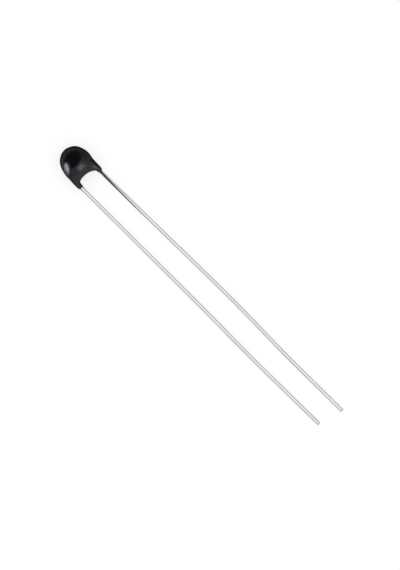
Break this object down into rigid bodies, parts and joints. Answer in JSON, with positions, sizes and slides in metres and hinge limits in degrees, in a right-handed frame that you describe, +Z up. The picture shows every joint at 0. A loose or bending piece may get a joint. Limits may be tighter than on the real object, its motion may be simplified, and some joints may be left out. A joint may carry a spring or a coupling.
{
  "type": "bead thermistor",
  "caption": "Temperature-sensing bead: a ceramic chip soldered between solid wire leads and dipped in black resin.",
  "frame": {"origin": "on the surface that the part lies on, under the middle of its length and midway between the leads", "axes": "+X along the leads from the bead to their tips, +Y across the leads towards the long lead, +Z up"},
  "size_m": [0.038, 0.0032, 0.0022],
  "materials": {
    "resin": "dipped black resin, satin gloss",
    "chip_ceramic": "sintered metal oxide, matt",
    "electrode_silver": "fired silver film, satin",
    "solder": "solidified solder, bright",
    "tinned_wire": "bright tin plating"
  },
  "bodies": {
    "root": {"resin_coating": "resin", "ceramic_chip": "chip_ceramic", "front_electrode": "electrode_silver", "back_electrode": "electrode_silver", "front_solder": "solder", "back_solder": "solder", "long_lead": "tinned_wire", "short_lead": "tinned_wire"}
  },
  "joints": []
}
